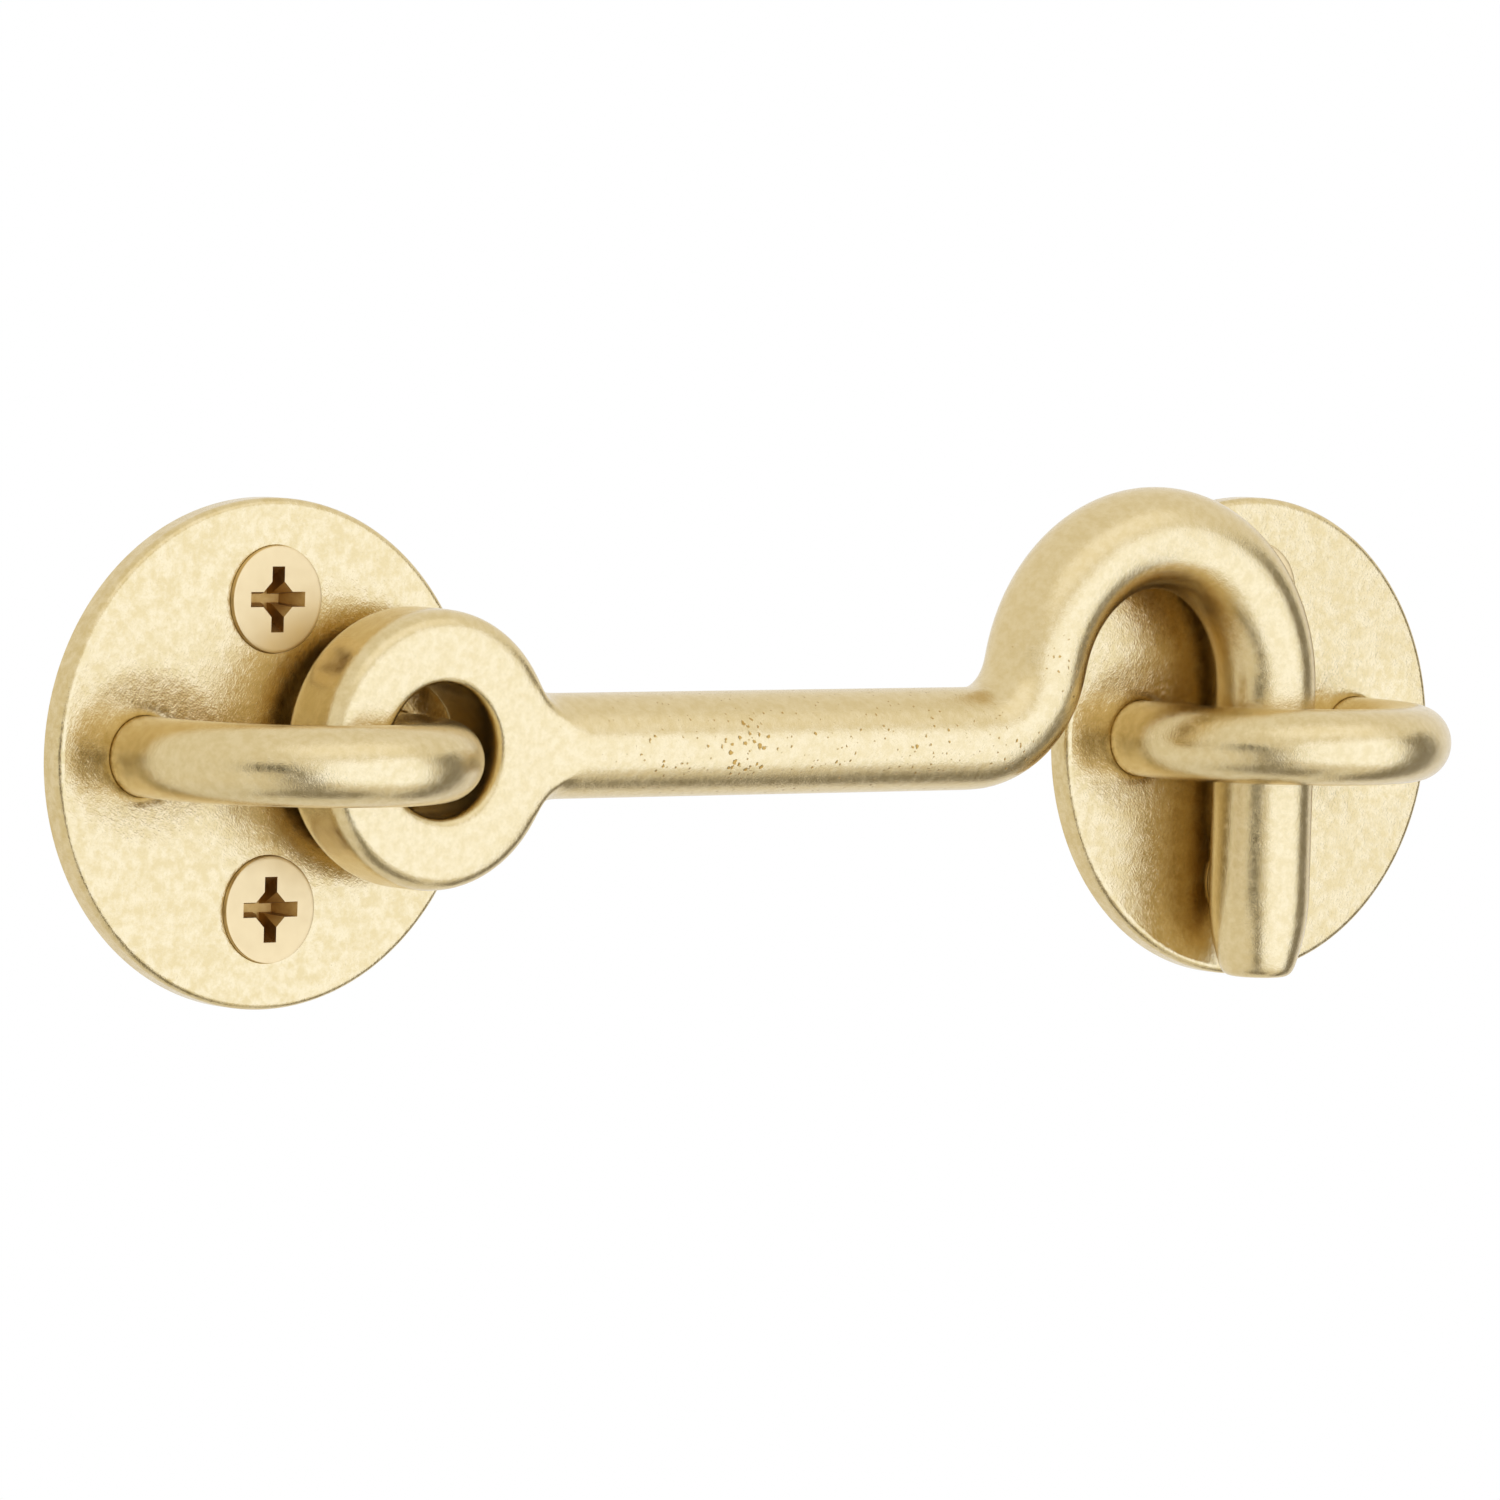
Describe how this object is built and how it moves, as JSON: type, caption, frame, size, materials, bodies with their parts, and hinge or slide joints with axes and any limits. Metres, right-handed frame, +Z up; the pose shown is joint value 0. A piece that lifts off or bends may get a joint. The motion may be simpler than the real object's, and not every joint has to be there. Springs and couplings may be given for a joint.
{
  "type": "hook and eye latch",
  "caption": "Brass cabin hook latch: a forged hook with a round eye turns on the staple of a round screw-fixed plate and drops through the staple of a matching keep plate.",
  "frame": {"origin": "centre of the pivot plate's back face, where it lies on the door", "axes": "+X from the pivot plate to the keep along the hook, +Y into the surface that the plates are screwed to, +Z up"},
  "size_m": [0.1334, 0.0359, 0.0391],
  "materials": {
    "satin_brass": "satin, tumbled cast brass",
    "screw_brass": "bright turned brass"
  },
  "bodies": {
    "base": {"pivot_plate": "satin_brass", "pivot_staple": "satin_brass", "pivot_screw_upper": "screw_brass", "pivot_screw_lower": "screw_brass", "keep_plate": "satin_brass", "keep_staple": "satin_brass", "keep_screw_upper": "screw_brass", "keep_screw_lower": "screw_brass"},
    "hook": {"hook": "satin_brass"}
  },
  "joints": [
    {"name": "hook_lift", "type": "hinge", "parent": "base", "child": "hook", "pos_m": [0.01009, -0.0069, 0.0006], "axis": [0, -1, 0], "range_deg": [-5, 155]}
  ]
}
